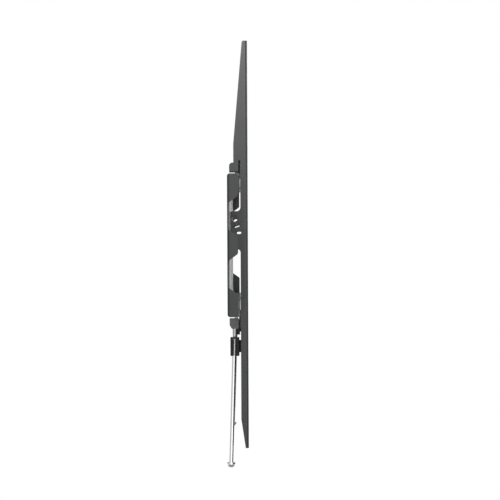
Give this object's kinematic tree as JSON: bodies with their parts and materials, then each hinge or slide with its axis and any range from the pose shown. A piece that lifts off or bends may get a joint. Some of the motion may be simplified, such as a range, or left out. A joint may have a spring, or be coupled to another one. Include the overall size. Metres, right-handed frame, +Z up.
{
  "type": "fixed tv wall bracket",
  "caption": "Slim fixed wall bracket for a flat screen: a folded wall plate, hook-on channel arms and spring latches released by long pull rods.",
  "frame": {"origin": "middle of the wall plate's back face, on the wall", "axes": "+X along the wall, +Y into the wall, +Z up; the screen hangs on the -Y side"},
  "size_m": [0.7, 0.0231, 0.449],
  "materials": {
    "black_steel": "satin black powder coat",
    "latch_steel": "dark zinc plating",
    "spring_wire": "drawn spring wire",
    "guide_plastic": "moulded black nylon",
    "rod_chrome": "bright chrome plating"
  },
  "bodies": {
    "bracket": {"wall_plate": "black_steel", "arm_left": "black_steel", "arm_right": "black_steel", "latch_guide_left": "guide_plastic", "latch_guide_right": "guide_plastic", "guide_rivet_left": "black_steel", "guide_rivet_right": "black_steel", "latch_spring_left": "spring_wire", "latch_spring_right": "spring_wire"},
    "latch_left": {"latch_left": "latch_steel", "latch_pin_left": "latch_steel"},
    "latch_right": {"latch_right": "latch_steel", "latch_pin_right": "latch_steel"},
    "rod_left": {"pull_rod_left": "rod_chrome"},
    "rod_right": {"pull_rod_right": "rod_chrome"}
  },
  "joints": [
    {"name": "latch_slide_left", "type": "slide", "parent": "bracket", "child": "latch_left", "axis": [0, 0, -1], "range_m": [0, 0.012], "stiffness_N_per_m": 60, "springref_m": -0.01, "deforming": ["latch_spring_left"]},
    {"name": "latch_slide_right", "type": "slide", "parent": "bracket", "child": "latch_right", "axis": [0, 0, -1], "range_m": [0, 0.012], "stiffness_N_per_m": 60, "springref_m": -0.01, "deforming": ["latch_spring_right"]},
    {"name": "rod_swing_left", "type": "hinge", "parent": "latch_left", "child": "rod_left", "pos_m": [-0.2, -0.0066, -0.0848], "axis": [1, 0, 0], "range_deg": [-1.83, 0]},
    {"name": "rod_swing_right", "type": "hinge", "parent": "latch_right", "child": "rod_right", "pos_m": [0.2, -0.0066, -0.0848], "axis": [1, 0, 0], "range_deg": [-1.83, 0]}
  ]
}
